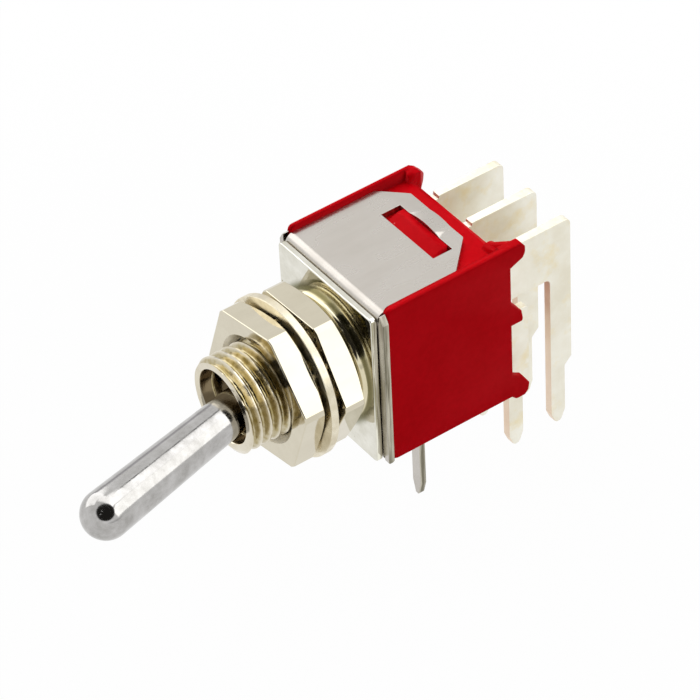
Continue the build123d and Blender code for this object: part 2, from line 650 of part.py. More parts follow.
def detent_spring():
    """Coil spring in the lever's pocket. The wire's section has few sides, to keep its facets few."""
    coil_r = POCKET_R - SPRING_GAP - SPRING_WIRE_R
    bottom = POCKET_BOTTOM + SPRING_WIRE_R + 0.01
    top = STEM_START - SPRING_WIRE_R - 0.01
    helix = Helix(pitch=(top - bottom) / SPRING_TURNS, height=top - bottom, radius=coil_r)
    section = Plane(origin=helix @ 0, z_dir=helix % 0) * RegularPolygon(SPRING_WIRE_R, SPRING_WIRE_SIDES)
    coil = sweep(section, path=helix)
    return at_rest(Pos(0, bottom, 0) * Rot(-90, 0, 0) * coil)


def plunger():
    """T-shaped follower: a stem in the lever's tail, a crossbar and one rounded foot per pole."""
    stem_r = POCKET_R - STEM_CLEARANCE
    bar_front = TAIL_LENGTH + PLUNGER_STROKE + CROSSBAR_GAP
    bar_back = bar_front + CROSSBAR_THICKNESS
    bar_end = POLE_HEIGHT + FOOT_LENGTH / 2
    part = turned([(0, STEM_START), (stem_r, STEM_START), (stem_r, bar_front + 0.1), (0, bar_front + 0.1)])
    part += block(-CROSSBAR_HALF_WIDTH, CROSSBAR_HALF_WIDTH, bar_front, bar_back, -bar_end, bar_end)
    for side in (-1, 1):
        middle = side * POLE_HEIGHT
        part += block(-FOOT_R, FOOT_R, bar_back - 0.1, FOOT_REACH,
                      middle - FOOT_LENGTH / 2, middle + FOOT_LENGTH / 2)
        part += Pos(0, FOOT_REACH, middle) * Cylinder(FOOT_R, FOOT_LENGTH)
    return at_rest(part)


def save(part, name):
    part.label = name
    export_step(part, "parts/" + name + ".step")


os.makedirs("parts", exist_ok=True)

save(bushing(), "bushing")
save(panel_nuts(), "panel_nuts")
save(lock_washer(), "lock_washer")
save(frame(), "frame")
save(housing(), "housing")
save(lever(), "lever")
save(detent_spring(), "detent_spring")
save(plunger(), "plunger")
save(rocker(POLE_HEIGHT), "upper_rocker")
save(rocker(-POLE_HEIGHT), "lower_rocker")

for label, x in (("left", -PITCH), ("common", 0), ("right", PITCH)):
    save(upper_terminal(x), "upper_" + label + "_terminal")
    save(lower_terminal(x), "lower_" + label + "_terminal")

for label, x in (("left", -PITCH), ("right", PITCH)):
    save(contact_pad(x, POLE_HEIGHT), "contact_pad_upper_" + label)
    save(contact_pad(x, -POLE_HEIGHT), "contact_pad_lower_" + label)
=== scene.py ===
import math

import bmesh
import bpy
from mathutils import Matrix, Vector


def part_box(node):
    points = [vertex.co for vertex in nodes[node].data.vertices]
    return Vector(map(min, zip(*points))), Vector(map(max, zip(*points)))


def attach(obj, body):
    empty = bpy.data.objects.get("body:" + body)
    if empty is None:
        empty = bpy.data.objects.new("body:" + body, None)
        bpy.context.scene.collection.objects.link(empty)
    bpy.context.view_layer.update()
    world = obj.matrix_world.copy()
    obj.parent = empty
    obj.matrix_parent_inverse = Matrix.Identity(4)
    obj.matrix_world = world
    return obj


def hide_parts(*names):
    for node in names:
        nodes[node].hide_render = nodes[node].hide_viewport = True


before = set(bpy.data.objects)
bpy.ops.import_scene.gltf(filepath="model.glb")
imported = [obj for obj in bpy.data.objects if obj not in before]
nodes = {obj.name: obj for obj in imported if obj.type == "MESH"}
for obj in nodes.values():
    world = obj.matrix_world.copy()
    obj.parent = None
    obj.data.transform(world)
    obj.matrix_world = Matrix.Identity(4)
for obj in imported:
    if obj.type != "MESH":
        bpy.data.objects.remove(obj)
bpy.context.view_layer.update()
MM = 0.001


# ---- Camera -----------------------------------------------------------------------------------
# A long lens looks down on the switch from its front right, the lever pointing to the lower left.
# The camera is rolled a few degrees, as a hand-placed small part lies in front of it.
def toward(around, up):
    """Direction from the switch; degrees round from its front to its right, and up from the floor."""
    a, e = math.radians(around), math.radians(up)
    return Vector((math.sin(a) * math.cos(e), -math.cos(a) * math.cos(e), math.sin(e)))


def put_in_scene(name, data):
    """Makes an object of a camera, a lamp or a mesh, and links it into the scene."""
    made = bpy.data.objects.new(name, data)
    bpy.context.scene.collection.objects.link(made)
    return made


azimuth, elevation, roll = 55.847, 41.758, math.radians(-3.021)
distance, focal_length, sensor_width = 208.795, 231.43, 36
aim_left, aim_low = 1.396, 1.131
middle_of_switch = Vector((0, 7.02, 0))
to_camera = toward(azimuth, elevation)
level_right = Vector((math.cos(math.radians(azimuth)), math.sin(math.radians(azimuth)), 0))
level_up = to_camera.cross(level_right)
cam_right = math.cos(roll) * level_right + math.sin(roll) * level_up
cam_up = math.cos(roll) * level_up - math.sin(roll) * level_right
aim = middle_of_switch - aim_left * cam_right - aim_low * cam_up

camera_data = bpy.data.cameras.new("camera")
camera_data.sensor_width = sensor_width
camera_data.lens = focal_length
camera_data.clip_start = 0.01
camera = put_in_scene("camera", camera_data)
turn = Matrix((cam_right, cam_up, to_camera)).transposed()
camera.matrix_world = Matrix.Translation((aim + distance * to_camera) * MM) @ turn.to_4x4()
bpy.context.scene.camera = camera
bpy.context.scene.view_settings.view_transform = "Standard"


# ---- Studio -----------------------------------------------------------------------------------
# A white tent with softboxes to the left, over the back and behind the right side, and a dark
# opening round the camera, all of which polished metal shows. The floor touches the pins' tips.
def feed(tree, slot, value):
    """Links a socket into an input, or gives the input a plain value."""
    if isinstance(value, bpy.types.NodeSocket):
        tree.links.new(value, slot)
    else:
        slot.default_value = value


def node(tree, kind, *inputs, **values):
    """Adds a node. A named value sets the property or feeds the input of that name, the rest go in order."""
    made = tree.nodes.new(kind)
    for key, value in values.items():
        if hasattr(made, key):
            setattr(made, key, value)
        else:
            feed(tree, made.inputs[key.replace("_", " ")], value)
    for slot, value in zip(made.inputs, inputs):
        feed(tree, slot, value)
    return made


def calculate(tree, operation, *values):
    """A Math node on sockets or numbers."""
    return node(tree, "ShaderNodeMath", *values, operation=operation).outputs[0]


def ramp(tree, value, start, end, first=0.0, last=1.0, kind="LINEAR"):
    """Goes from the first result to the last as the value goes from start to end, and no further."""
    made = node(tree, "ShaderNodeMapRange", value, start, end, first, last, interpolation_type=kind)
    return made.outputs[0]


def show(tree, share, first, second, output="ShaderNodeOutputMaterial"):
    """Shows the first shader where the share is 0 and the second where it is 1."""
    blend = node(tree, "ShaderNodeMixShader", share, first.outputs[0], second.outputs[0])
    node(tree, output, Surface=blend.outputs[0])


def seen_directly(tree):
    """1 for camera, glossy and transmission rays, which see the plain white; 0 for the rest."""
    path = node(tree, "ShaderNodeLightPath").outputs
    most = calculate(tree, "MAXIMUM", path["Is Camera Ray"], path["Is Glossy Ray"])
    return calculate(tree, "MAXIMUM", most, path["Is Transmission Ray"])


world = bpy.data.worlds.new("white_tent")
world.use_nodes = True
bpy.context.scene.world = world
tent = world.node_tree
tent.nodes.clear()
tent_light = node(tent, "ShaderNodeBackground", Color=(1.0, 0.99, 0.975, 1), Strength=0.34)
tent_seen = node(tent, "ShaderNodeBackground", Color=(1, 1, 1, 1), Strength=1.0)
show(tent, seen_directly(tent), tent_light, tent_seen, "ShaderNodeOutputWorld")


def softbox(name, direction, reach, side, watts):
    """A square lamp at a distance in metres from the switch, facing it. Reflections don't see it."""
    data = bpy.data.lights.new(name, "AREA")
    data.shape, data.size, data.energy = "SQUARE", side, watts
    lamp = put_in_scene(name, data)
    lamp.location = middle_of_switch * MM + direction * reach
    lamp.rotation_mode = "QUATERNION"
    lamp.rotation_quaternion = direction.to_track_quat("Z", "Y")
    lamp.visible_glossy = False


def card(name, direction, reach, half_angles, strength, soft, tone=(1, 1, 1), rounded=False):
    """A card with soft edges that only reflections see. It lights and hides nothing."""
    data = bpy.data.meshes.new(name)
    wide, high = (reach * math.tan(math.radians(a)) for a in half_angles)
    corners = [(-wide, -high, 0), (wide, -high, 0), (wide, high, 0), (-wide, high, 0)]
    data.from_pydata(corners, [], [(0, 1, 2, 3)])
    made = put_in_scene(name, data)
    side = Vector((0, 0, 1)).cross(direction).normalized()
    axes = Matrix((side, direction.cross(side), direction)).transposed()
    made.matrix_world = Matrix.Translation(middle_of_switch * MM + direction * reach) @ axes.to_4x4()
    paint = bpy.data.materials.new(name)
    paint.use_nodes = True
    tree = paint.node_tree
    tree.nodes.clear()
    place = node(tree, "ShaderNodeTexCoord").outputs["Object"]
    share = node(tree, "ShaderNodeVectorMath", place, (wide, high, 1), operation="DIVIDE").outputs[0]
    if rounded:
        from_middle = node(tree, "ShaderNodeVectorMath", share, operation="LENGTH").outputs["Value"]
    else:
        whole = node(tree, "ShaderNodeVectorMath", share, operation="ABSOLUTE").outputs[0]
        parts = node(tree, "ShaderNodeSeparateXYZ", whole).outputs
        from_middle = calculate(tree, "MAXIMUM", parts[0], parts[1])
    fade = ramp(tree, from_middle, 1 - soft, 1.0, kind="SMOOTHSTEP")
    glow = node(tree, "ShaderNodeEmission", Color=(*tone, 1), Strength=strength)
    show(tree, fade, glow, node(tree, "ShaderNodeBsdfTransparent"))
    data.materials.append(paint)
    for rays in ("camera", "diffuse", "shadow", "transmission"):
        setattr(made, f"visible_{rays}", False)


softbox("roof_light", toward(-105, 60), 0.32, 0.30, 0.70)
softbox("back_right_light", toward(140, 32), 0.30, 0.17, 0.13)
card("left_softbox_face", toward(-79, 31), 0.60, (28, 25), 2.1, 0.13)
card("roof_softbox_face", toward(-150, 73), 0.60, (34, 17), 2.2, 0.12)
card("right_softbox_face", toward(139, 31), 0.60, (29, 20), 2.15, 0.10, (1, 1, 0.985))
card("left_wall", toward(-107, 9), 0.66, (26, 11), 0.58, 0.85, (0.97, 0.95, 1))
card("roof_rail", toward(-146, 55.5), 0.55, (3.2, 3), 0.15, 0.5)
card("right_wall", toward(98, 1), 0.66, (42, 9), 0.66, 0.8)
card("dark_opening", toward(56, 50), 0.40, (43, 41), 0.022, 0.22, (1, 0.93, 0.85), rounded=True)
card("small_lamp_left", toward(30, 52), 0.35, (2.2, 2.2), 2.0, 0.4, rounded=True)
card("small_lamp_low", toward(28, 38), 0.35, (1.8, 1.8), 1.6, 0.4, rounded=True)

floor_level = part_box("frame")[0].z
reach = 2.0
floor_mesh = bpy.data.meshes.new("floor")
floor_mesh.from_pydata([(-reach, -reach, floor_level), (reach, -reach, floor_level),
                        (reach, reach, floor_level), (-reach, reach, floor_level)], [], [(0, 1, 2, 3)])
floor = put_in_scene("floor", floor_mesh)
floor_paint = bpy.data.materials.new("white_floor")
floor_paint.use_nodes = True
paint = floor_paint.node_tree
paint.nodes.clear()
matt = node(paint, "ShaderNodeBsdfDiffuse", Color=(0.55, 0.55, 0.55, 1))
glow = node(paint, "ShaderNodeEmission", Color=(1, 1, 1, 1), Strength=1.0)
place = node(paint, "ShaderNodeTexCoord").outputs["Object"]
far = node(paint, "ShaderNodeVectorMath", place, operation="LENGTH").outputs["Value"]
shaded_within, plain_beyond, least_glow = 0.02, 0.045, 0.984
glow_share = ramp(paint, far, shaded_within, plain_beyond, least_glow, 1.0)
show(paint, calculate(paint, "MULTIPLY", glow_share, seen_directly(paint)), matt, glow)
floor_mesh.materials.append(floor_paint)


# ---- Bushing ----------------------------------------------------------------------------------
# The barrel and its rectangular flange are turned and stamped in brass and plated with nickel.
# A lathe cuts the fine thread; the rear lip is rolled over behind the frame to hold it.
def group_input(tree, name, kind, value=None):
    """Adds a named input to a node group, and gives back the key that a modifier knows it by."""
    socket = tree.interface.new_socket(name=name, in_out="INPUT", socket_type=kind)
    if value is not None:
        socket.default_value = value
    return socket.identifier


def group_output(tree, name, kind):
    """Adds a named output to a node group."""
    tree.interface.new_socket(name=name, in_out="OUTPUT", socket_type=kind)


def mix(tree, share, first, second):
    """Mixes two colours, sockets or plain tones: the first where the share is 0, the second where it is 1."""
    first, second = ((*tone, 1) if isinstance(tone, tuple) else tone for tone in (first, second))
    made = node(tree, "ShaderNodeMix", data_type="RGBA", Factor=share, A=first, B=second)
    return made.outputs["Result"]


def metal_grain_group():
    """Uneven plating or drawn grain: noise stretched along one axis gives tone, roughness and height."""
    tree = bpy.data.node_groups.new("metal_grain", "ShaderNodeTree")
    for name, kind, value in (("Stretch", "Vector", (1, 1, 1)), ("Grain Scale", "Float", 1000.0),
                              ("Cloud Scale", "Float", 300.0), ("Light Tone", "Color", (1, 1, 1, 1)),
                              ("Dark Tone", "Color", (0.5, 0.5, 0.5, 1)), ("Smooth", "Float", 0.2),
                              ("Rough", "Float", 0.4)):
        group_input(tree, name, "NodeSocket" + kind, value)
    for name, kind in (("Color", "Color"), ("Roughness", "Float"), ("Height", "Float")):
        group_output(tree, name, "NodeSocket" + kind)
    given = node(tree, "NodeGroupInput").outputs
    place = node(tree, "ShaderNodeTexCoord").outputs["Object"]
    drawn = node(tree, "ShaderNodeVectorMath", place, given["Stretch"], operation="MULTIPLY").outputs[0]
    grain = node(tree, "ShaderNodeTexNoise", Vector=drawn, Scale=given["Grain Scale"], Detail=5.0,
                 Roughness=0.6).outputs[0]
    cloud = node(tree, "ShaderNodeTexNoise", Vector=place, Scale=given["Cloud Scale"], Detail=3.0).outputs[0]
    both = calculate(tree, "MULTIPLY_ADD", grain, 0.5, calculate(tree, "MULTIPLY", cloud, 0.5))
    spread = ramp(tree, both, 0.36, 0.64)
    tone = mix(tree, spread, given["Light Tone"], given["Dark Tone"])
    roughness = ramp(tree, spread, 0.0, 1.0, given["Smooth"], given["Rough"])
    node(tree, "NodeGroupOutput", Color=tone, Roughness=roughness, Height=grain)
    return tree


def specks_group():
    """Small scattered marks, such as dust, pits or stain spots: 1 on a mark and 0 between them."""
    tree = bpy.data.node_groups.new("specks", "ShaderNodeTree")
    for name, value in (("Spacing Scale", 1500.0), ("Mark Size", 0.12), ("Share", 0.3)):
        group_input(tree, name, "NodeSocketFloat", value)
    group_output(tree, "Mask", "NodeSocketFloat")
    given = node(tree, "NodeGroupInput").outputs
    place = node(tree, "ShaderNodeTexCoord").outputs["Object"]
    cells = node(tree, "ShaderNodeTexVoronoi", Vector=place, Scale=given["Spacing Scale"], Randomness=1.0)
    near = calculate(tree, "LESS_THAN", cells.outputs["Distance"], given["Mark Size"])
    drawn_lot = node(tree, "ShaderNodeSeparateColor", cells.outputs["Color"]).outputs[0]
    chosen = calculate(tree, "LESS_THAN", drawn_lot, given["Share"])
    node(tree, "NodeGroupOutput", Mask=calculate(tree, "MULTIPLY", near, chosen))
    return tree


metal_grain = metal_grain_group()
specks = specks_group()


def tint(finish, share, tone):
    """Lays a tone over the colour that a finish has so far, by this share."""
    tree = finish.node_tree
    base = tree.nodes["Principled BSDF"].inputs["Base Color"]
    tree.links.new(mix(tree, share, base.links[0].from_socket, tone), base)


def surface(name, light, dark, smooth, rough, stretch=(1, 1, 1), grain=1500.0, cloud=350.0, bump=0.1,
            relief=0.004, mark_colour=None, mark_scale=1500.0, mark_size=0.12, mark_share=0.2, metallic=1.0):
    """A finish with grain or uneven plating, and small marks of another colour where given."""
    made = bpy.data.materials.new(name)
    made.use_nodes = True
    tree = made.node_tree
    grained = node(tree, "ShaderNodeGroup", node_tree=metal_grain, Stretch=stretch, Grain_Scale=grain,
                   Cloud_Scale=cloud, Light_Tone=(*light, 1), Dark_Tone=(*dark, 1), Smooth=smooth,
                   Rough=rough).outputs
    ripple = node(tree, "ShaderNodeBump", Strength=bump, Distance=relief * MM, Height=grained["Height"])
    for slot, value in (("Metallic", metallic), ("Base Color", grained["Color"]),
                        ("Roughness", grained["Roughness"]), ("Normal", ripple.outputs[0])):
        feed(tree, tree.nodes["Principled BSDF"].inputs[slot], value)
    if mark_colour:
        marks = node(tree, "ShaderNodeGroup", node_tree=specks, Spacing_Scale=mark_scale,
                     Mark_Size=mark_size, Share=mark_share)
        tint(made, marks.outputs["Mask"], mark_colour)
    return made


def parts_of(tree, vector):
    """The x, y and z of a vector."""
    return node(tree, "ShaderNodeSeparateXYZ", vector).outputs


def sheared_edges(finish, light, dark):
    """Faces turned to either side are the sheared edge of the sheet, torn in fine upright stripes."""
    tree = finish.node_tree
    normal = node(tree, "ShaderNodeNewGeometry").outputs["Normal"]
    sideways = ramp(tree, calculate(tree, "ABSOLUTE", parts_of(tree, normal)[0]), 0.75, 0.92)
    place = node(tree, "ShaderNodeTexCoord").outputs["Object"]
    upright = node(tree, "ShaderNodeVectorMath", place, (0.2, 1.0, 0.05), operation="MULTIPLY").outputs[0]
    stripes = node(tree, "ShaderNodeTexNoise", Vector=upright, Scale=6500.0, Detail=3.0).outputs[0]
    tint(finish, sideways, mix(tree, ramp(tree, stripes, 0.38, 0.60), light, dark))


def shade(data, crease):
    """Shades a mesh smooth, except at edges sharper than the crease in degrees."""
    data.shade_smooth()
    data.set_sharp_from_angle(angle=math.radians(crease))


def new_piece(name, points, faces, finish, crease=30):
    """A closed mesh from points in millimetres, with the points that coincide merged."""
    data = bpy.data.meshes.new(name)
    data.from_pydata([Vector(p) * MM for p in points], [], faces)
    work = bmesh.new()
    work.from_mesh(data)
    bmesh.ops.remove_doubles(work, verts=work.verts, dist=0.0005 * MM)
    bmesh.ops.recalc_face_normals(work, faces=work.faces)
    work.to_mesh(data)
    work.free()
    data.materials.append(finish)
    shade(data, crease)
    return put_in_scene(name, data)


def round_faces(columns, rows, closed=True):
    """Faces of a grid that closes round the axis, and along its outline too if that is closed."""
    return [[c * rows + r, c * rows + (r + 1) % rows,
             (c + 1) % columns * rows + (r + 1) % rows, (c + 1) % columns * rows + r]
            for c in range(columns) for r in range(rows if closed else rows - 1)]


def corner_arc(centre_r, centre_y, radius, start, end, steps):
    """Points of a rounded corner, as (radius, y); angles in degrees from outwards towards the rear."""
    return [(centre_r + radius * math.cos(math.radians(start + (end - start) * k / steps)),
             centre_y + radius * math.sin(math.radians(start + (end - start) * k / steps)))
            for k in range(steps + 1)]


def turned_points(outline, columns):
    """An outline of (radius, y), repeated round the bushing's axis."""
    return [(r * math.sin(2 * math.pi * c / columns), y, r * math.cos(2 * math.pi * c / columns))
            for c in range(columns) for r, y in outline]


def turned_piece(name, outline, finish, columns=120, crease=30):
    """Turns a closed outline of (radius, y) about the bushing's axis."""
    points = turned_points(outline, columns)
    return new_piece(name, points, round_faces(columns, len(outline)), finish, crease)


mouth_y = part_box("bushing")[0].y / MM
flange_front = 4.02
thread_r, thread_pitch, thread_depth = 2.415, 0.529, 0.31
thread_start, thread_end = mouth_y + 0.2, flange_front - 0.05


def threaded_barrel(name, outline, finish, columns=144, steps=16):
    """Turns an open outline, and closes it with a skin whose rows follow the thread, sixteen to a turn."""
    points = turned_points(outline, columns)
    faces = round_faces(columns, len(outline), closed=False)
    first = len(points)
    turns = math.ceil((thread_end - thread_start) / thread_pitch) + 1
    for c in range(columns + 1):
        angle = 2 * math.pi * c / columns
        for k in range(steps * turns + 1):
            y = thread_start + thread_pitch * ((k - steps) / steps + c / columns)
            y = min(max(y, thread_start), thread_end)
            points.append((thread_r * math.sin(angle), y, thread_r * math.cos(angle)))
    high = steps * turns + 1
    lower = [first + c * high + k for c in range(columns) for k in range(high - 1)]
    faces += [[f, f + 1, f + high + 1, f + high] for f in lower]
    return new_piece(name, points, faces, finish)


# (radius, y) from the thread's end back over the rolled lip, and forward down the seat to the mouth
neck_y, step_y, seat_r, throat_r, mouth_r = flange_front + 0.17, -1.27, 1.78, 1.46, 1.87
mouth_round, rim_round = 0.12, 0.17
barrel_outline = [(thread_r, thread_end), (thread_r, neck_y), (2.6, neck_y), (2.6, 4.75), (2.88, 4.75)]
barrel_outline += [(2.8, 4.86), (2.6, 5.01), (2.2, 5.01), (2.2, 4.36), (seat_r, 2.34), (seat_r, 0.08)]
barrel_outline += [(throat_r, -0.4325), (throat_r, -0.66), (1.62, -1.22), (1.64, step_y), (1.74, step_y)]
barrel_outline += [(1.76, step_y - 0.02)]
barrel_outline += corner_arc(mouth_r + mouth_round, mouth_y + mouth_round, mouth_round, 180, 270, 3)
barrel_outline += corner_arc(thread_r - rim_round, mouth_y + rim_round, rim_round, -90, 0, 5)
barrel_outline += [(thread_r, thread_start)]
barrel_nickel = surface("thread_and_bore_nickel", (0.74, 0.69, 0.57), (0.62, 0.56, 0.43), smooth=0.10,
                      rough=0.20, stretch=(0.3, 1.6, 0.3), grain=2500, bump=0.25, relief=0.006,
                      mark_colour=(0.35, 0.27, 0.17), mark_scale=1300, mark_size=0.07, mark_share=0.25)


def distance_from_axis(tree, x, z):
    """Distance from the bushing's axis."""
    squares = (calculate(tree, "MULTIPLY", part, part) for part in (x, z))
    return calculate(tree, "SQRT", calculate(tree, "ADD", *squares))


def radius_from_axis(tree):
    """Distance from the bushing's axis, the place along it and the coordinates that these come from."""
    place = node(tree, "ShaderNodeTexCoord").outputs["Object"]
    x, y, z = parts_of(tree, place)
    return distance_from_axis(tree, x, z), y, place


def paint_groove_shade_and_dark_bore(finish, groove_shade_tone, bore_tone):
    """Painted shade down in the thread, patchy, and the bore behind the mouth, except a narrow band at its
    step, tinted dark brown.
    """
    shade_starts, shade_whole = thread_r - 0.045, thread_r - 0.15
    bore_limit, rim_back, step_width = 2.0, mouth_y + 0.16, 0.03
    tree = finish.node_tree
    radius, y, place = radius_from_axis(tree)
    groove = ramp(tree, radius, shade_starts * MM, shade_whole * MM)
    inside = calculate(tree, "LESS_THAN", radius, bore_limit * MM)
    behind = calculate(tree, "GREATER_THAN", y, rim_back * MM)
    from_step = calculate(tree, "ABSOLUTE", calculate(tree, "SUBTRACT", y, step_y * MM))
    off_step = calculate(tree, "GREATER_THAN", from_step, step_width * MM)
    bore = calculate(tree, "MULTIPLY", inside, calculate(tree, "MULTIPLY", behind, off_step))
    mottle = node(tree, "ShaderNodeTexNoise", Vector=place, Scale=3200.0, Detail=4.0).outputs[0]
    patchy = calculate(tree, "MULTIPLY", groove, ramp(tree, mottle, 0.35, 0.65, 0.5))
    # painted shade down in the thread's grooves, patchy
    tint(finish, calculate(tree, "MULTIPLY", patchy, behind), groove_shade_tone)
    tint(finish, bore, bore_tone)


# painted shade in the thread's grooves; the bore behind the mouth tinted dark brown
paint_groove_shade_and_dark_bore(barrel_nickel, (0.38, 0.31, 0.14), (0.22, 0.17, 0.10))
bushing_barrel = threaded_barrel("bushing_barrel", barrel_outline, barrel_nickel)


def thread_cutter():
    """Sinks a right-hand helical groove into whatever stands outside the thread's form."""
    tree = bpy.data.node_groups.new("thread_cutter", "GeometryNodeTree")
    keys = {"Geometry": group_input(tree, "Geometry", "NodeSocketGeometry")}
    for name, value in (("Crest Radius", 0.0024), ("Depth", 0.0003), ("Pitch", 0.0005),
                        ("Start", -0.002), ("End", 0.004), ("Wear", 0.00002), ("Wear Scale", 4500.0)):
        keys[name] = group_input(tree, name, "NodeSocketFloat", value)
    keys["Finish"] = group_input(tree, "Finish", "NodeSocketMaterial")
    group_output(tree, "Geometry", "NodeSocketGeometry")
    given = node(tree, "NodeGroupInput").outputs
    x, y, z = parts_of(tree, node(tree, "GeometryNodeInputPosition").outputs[0])
    radius = distance_from_axis(tree, x, z)
    turns = calculate(tree, "DIVIDE", calculate(tree, "ARCTAN2", x, z), 2 * math.pi)
    past_start = calculate(tree, "SUBTRACT", y, given["Start"])
    advance = calculate(tree, "DIVIDE", past_start, given["Pitch"])
    phase = calculate(tree, "FRACT", calculate(tree, "SUBTRACT", advance, turns))
    off_crest = calculate(tree, "ABSOLUTE", calculate(tree, "MULTIPLY_ADD", phase, 2.0, -1.0))
    form = ramp(tree, calculate(tree, "SUBTRACT", 1.0, off_crest), 0.2, 0.88)
    last_turn = calculate(tree, "SUBTRACT", given["End"], given["Pitch"])
    run_out = ramp(tree, y, last_turn, given["End"], 1.0, 0.0)
    sunk = calculate(tree, "MULTIPLY", calculate(tree, "SUBTRACT", 1.0, form),
                     calculate(tree, "MULTIPLY", given["Depth"], run_out))
    nicks = node(tree, "ShaderNodeTexNoise", Scale=given["Wear Scale"]).outputs[0]
    worn = calculate(tree, "MULTIPLY_ADD", nicks, given["Wear"], sunk)
    limit = calculate(tree, "SUBTRACT", given["Crest Radius"], worn)
    ahead = calculate(tree, "LESS_THAN", y, given["End"])
    proud = calculate(tree, "GREATER_THAN", radius, limit)
    scale = calculate(tree, "DIVIDE", limit, radius)
    rebuilt = node(tree, "ShaderNodeCombineXYZ", calculate(tree, "MULTIPLY", x, scale), y,
                   calculate(tree, "MULTIPLY", z, scale)).outputs[0]
    move = node(tree, "GeometryNodeSetPosition", Geometry=given["Geometry"],
                Selection=calculate(tree, "MULTIPLY", ahead, proud), Position=rebuilt)
    real = node(tree, "GeometryNodeRealizeInstances", move.outputs[0])
    paint = node(tree, "GeometryNodeSetMaterial", Geometry=real.outputs[0], Material=given["Finish"])
    node(tree, "NodeGroupOutput", Geometry=paint.outputs[0])
    return tree, keys


def bake_tree(obj, tree, keys, crease, **values):
    """Runs a geometry tree on a piece with these inputs, and keeps the plain mesh that it gives."""
    step = obj.modifiers.new("made_by", "NODES")
    step.node_group = tree
    for key, value in values.items():
        step[keys[key.replace("_", " ")]] = value
    bpy.context.view_layer.update()
    evaluated = obj.evaluated_get(bpy.context.evaluated_depsgraph_get())
    baked = bpy.data.meshes.new_from_object(evaluated)
    obj.modifiers.clear()
    obj.data = baked
    shade(baked, crease)


cutter, cutter_keys = thread_cutter()
bake_tree(bushing_barrel, cutter, cutter_keys, crease=35, Crest_Radius=thread_r * MM,
          Depth=thread_depth * MM, Pitch=thread_pitch * MM, Start=thread_start * MM, End=thread_end * MM,
          Wear=0.045 * MM, Wear_Scale=4200.0, Finish=barrel_nickel)
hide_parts("bushing")
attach(bushing_barrel, "case")


def soft_edges(obj, width, angle=30, segments=2):
    """Rounds the edges of a piece by a small radius in millimetres."""
    bevel = obj.modifiers.new("rounded_edges", "BEVEL")
    bevel.width = width * MM
    bevel.segments = segments
    bevel.limit_method = "ANGLE"
    bevel.angle_limit = math.radians(angle)
    bevel.harden_normals = True
    bevel.miter_outer = "MITER_ARC"


def roughen(finish, share, amount):
    """Adds an amount to the roughness that a finish has so far, by this share."""
    tree = finish.node_tree
    rough = tree.nodes["Principled BSDF"].inputs["Roughness"]
    tree.links.new(calculate(tree, "MULTIPLY_ADD", share, amount, rough.links[0].from_socket), rough)


def paint_shade_round_axis(finish, tone, inner, outer, film=0.14):
    """Painted shade in the corner round the axis, where the surface is also rougher by the film: all of it at
    the inner radius, none at the outer.
    """
    tree = finish.node_tree
    share = ramp(tree, radius_from_axis(tree)[0], outer * MM, inner * MM, kind="SMOOTHSTEP")
    tint(finish, share, tone)
    roughen(finish, share, film)


# the turned shoulder between the thread and the flange: two rounded rings with a fine groove between them
shoulder_nickel = surface("shoulder_nickel", (0.75, 0.69, 0.50), (0.64, 0.58, 0.39), smooth=0.06,
                          rough=0.14, stretch=(0.5, 1.2, 0.5), grain=1600, cloud=160, bump=0.03,
                          relief=0.002)
# painted shade in the groove between the rings and the corner at the flange
paint_shade_round_axis(shoulder_nickel, (0.20, 0.17, 0.08), 3.09, 3.17)
shoulder_outline = [(2.3, flange_front + 0.04), (2.3, 3.45), (3.17, 3.45), (3.2, 3.48), (3.205, 3.54)]
shoulder_outline += [(3.18, 3.58), (3.09, 3.6), (3.09, 3.62), (3.17, 3.635), (3.225, 3.68), (3.26, 3.75)]
shoulder_outline += [(3.28, 3.84), (3.285, 3.93), (3.28, flange_front + 0.04)]
bushing_shoulder = turned_piece("bushing_shoulder", shoulder_outline, shoulder_nickel, crease=50)
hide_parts("bushing")
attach(bushing_shoulder, "case")


def plate_with_hole(name, finish, half_width, half_height, corner_r, hole_r, front, back):
    """A rounded rectangular plate round the axis. Its rings run from the hole to the outer edge."""
    columns, corner_points = 96, 5
    ring = []
    for c in range(columns):
        a = 2 * math.pi * c / columns
        across, rise = math.cos(a), math.sin(a)
        reach = min(half_width / max(abs(across), 1e-9), half_height / max(abs(rise), 1e-9))
        ring.append((reach * across, reach * rise))
    for sx in (-1, 1):
        for sz in (-1, 1):
            corner = (sx * half_width, sz * half_height)
            near = sorted(range(columns), key=lambda c: math.dist(ring[c], corner))
            close = sorted(near[:corner_points],
                           key=lambda c: math.atan2(ring[c][1], ring[c][0]) % (2 * math.pi))
            for k, c in enumerate(close):
                turn_by = k / (len(close) - 1) * math.pi / 2
                along, up = math.cos(turn_by), math.sin(turn_by)
                if sx * sz < 0:
                    along, up = up, along
                ring[c] = (corner[0] - sx * corner_r * (1 - along), corner[1] - sz * corner_r * (1 - up))
    points = []
    for c, (x, z) in enumerate(ring):
        size = math.hypot(x, z)
        inner = (x * hole_r / size, z * hole_r / size)
        points += [(inner[0], front, inner[1]), (x, front, z), (x, back, z), (inner[0], back, inner[1])]
    return new_piece(name, points, round_faces(columns, 4), finish)


stamped_nickel = surface("stamped_nickel", (0.79, 0.775, 0.70), (0.62, 0.60, 0.51), smooth=0.03, rough=0.10,
                         grain=1500, cloud=420, bump=0.14, relief=0.006, mark_colour=(0.30, 0.25, 0.13),
                         mark_scale=1700, mark_size=0.09, mark_share=0.3)
